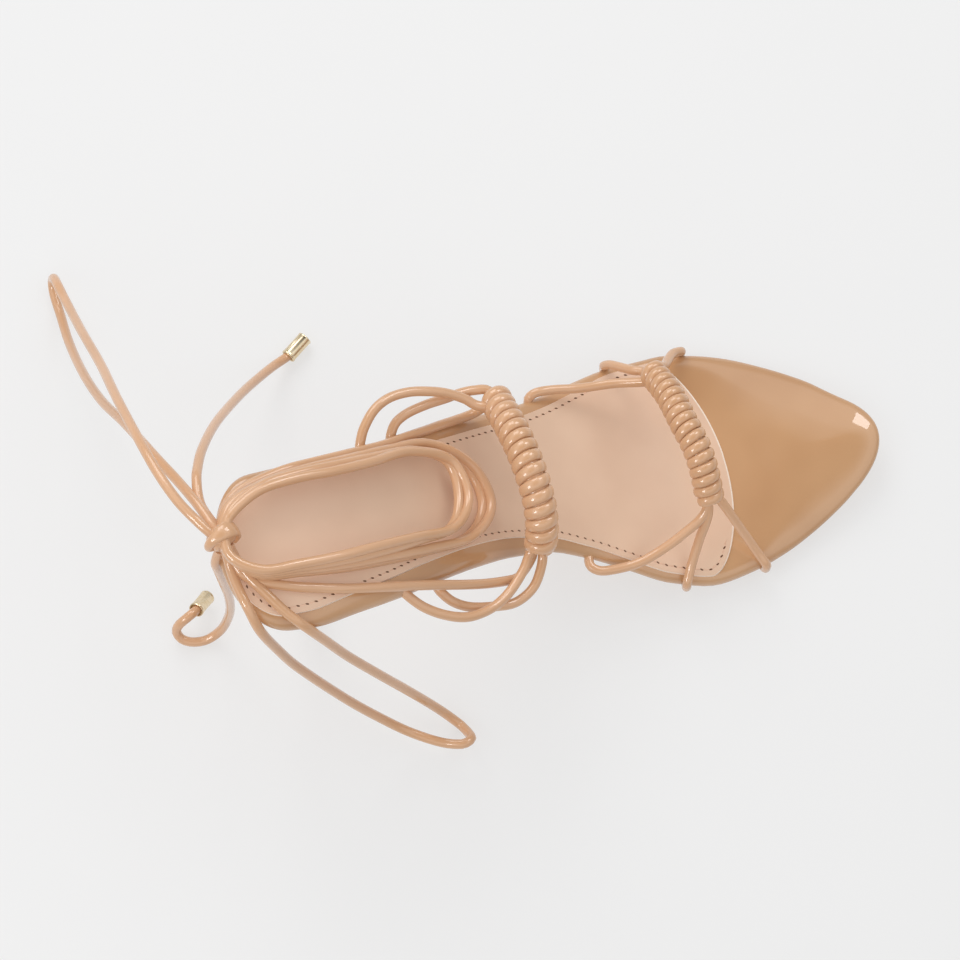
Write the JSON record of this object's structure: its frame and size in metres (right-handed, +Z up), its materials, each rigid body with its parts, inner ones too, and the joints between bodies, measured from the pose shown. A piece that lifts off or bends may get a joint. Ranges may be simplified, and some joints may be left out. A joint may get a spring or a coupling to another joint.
{
  "type": "lace-up stiletto sandal",
  "caption": "Pointed lace-up stiletto sandal for a left foot: patent footbed, covered slim heel, two cord-wrapped straps and an ankle tie wound on the insole and tied in a bow.",
  "frame": {"origin": "on the floor, at the middle of the shoe's length and width measured without the ankle tie", "axes": "+X from the heel to the toe, +Y to the outer (little toe) side of the left shoe, +Z up from the floor"},
  "size_m": [0.2619, 0.201, 0.1162],
  "materials": {
    "patent_leather": "high gloss patent, nude tan",
    "satin_sock": "smooth satin, pinkish nude",
    "patent_cord": "glossy rolled cord, nude",
    "sole_leather": "matte sole",
    "top_piece_plastic": "matte",
    "pale_gold": "polished pale gold"
  },
  "bodies": {
    "root": {"outsole": "sole_leather", "footbed": "patent_leather", "sock_lining": "satin_sock", "heel": "patent_leather", "top_piece": "top_piece_plastic", "front_band": "patent_cord", "instep_band": "patent_cord", "far_tie": "patent_cord", "near_tie": "patent_cord", "ankle_coil": "patent_cord", "bow_knot": "patent_cord", "upper_loop": "patent_cord", "lower_loop": "patent_cord", "upper_tail": "patent_cord", "lower_tail": "patent_cord", "upper_tip": "pale_gold", "lower_tip": "pale_gold"}
  },
  "joints": []
}
